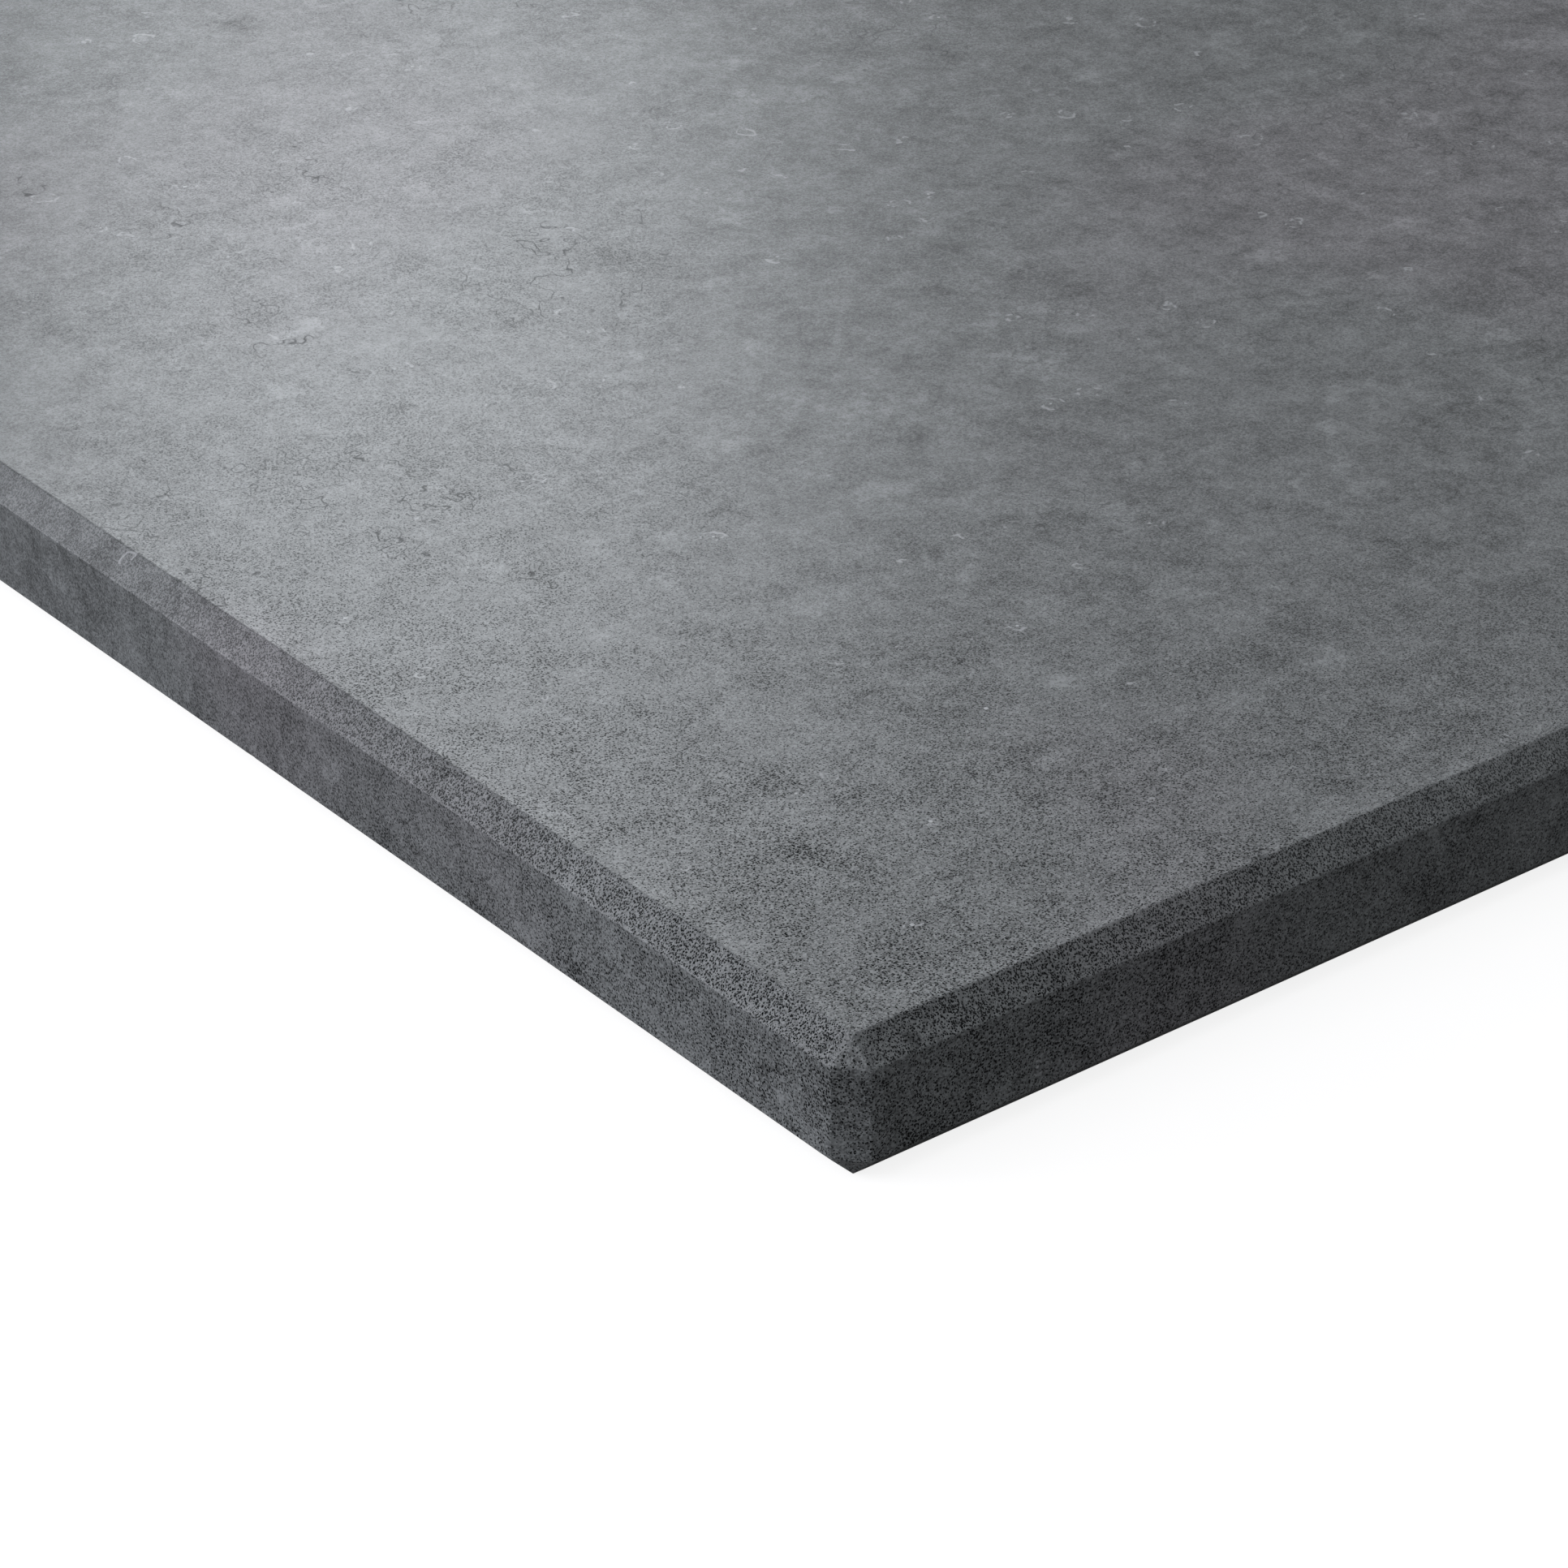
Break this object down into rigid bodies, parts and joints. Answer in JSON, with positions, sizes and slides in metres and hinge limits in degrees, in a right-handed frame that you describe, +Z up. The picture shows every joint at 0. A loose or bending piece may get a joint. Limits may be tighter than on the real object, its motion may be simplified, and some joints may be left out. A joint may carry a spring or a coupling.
{
  "type": "granite slab",
  "caption": "Flat rectangular stone slab with honed faces, for a firm leatherworking surface; every edge has a 45 degree chamfer and every corner a small triangular facet.",
  "frame": {"origin": "middle of the underside", "axes": "+Z up through the thickness to the working face, +X along the width, +Y along the length"},
  "size_m": [0.4, 0.4, 0.02],
  "materials": {
    "honed_granite": "honed dark grey granite, fine dark grain with soft cloudy mottling"
  },
  "bodies": {
    "root": {"granite_slab": "honed_granite"}
  },
  "joints": []
}
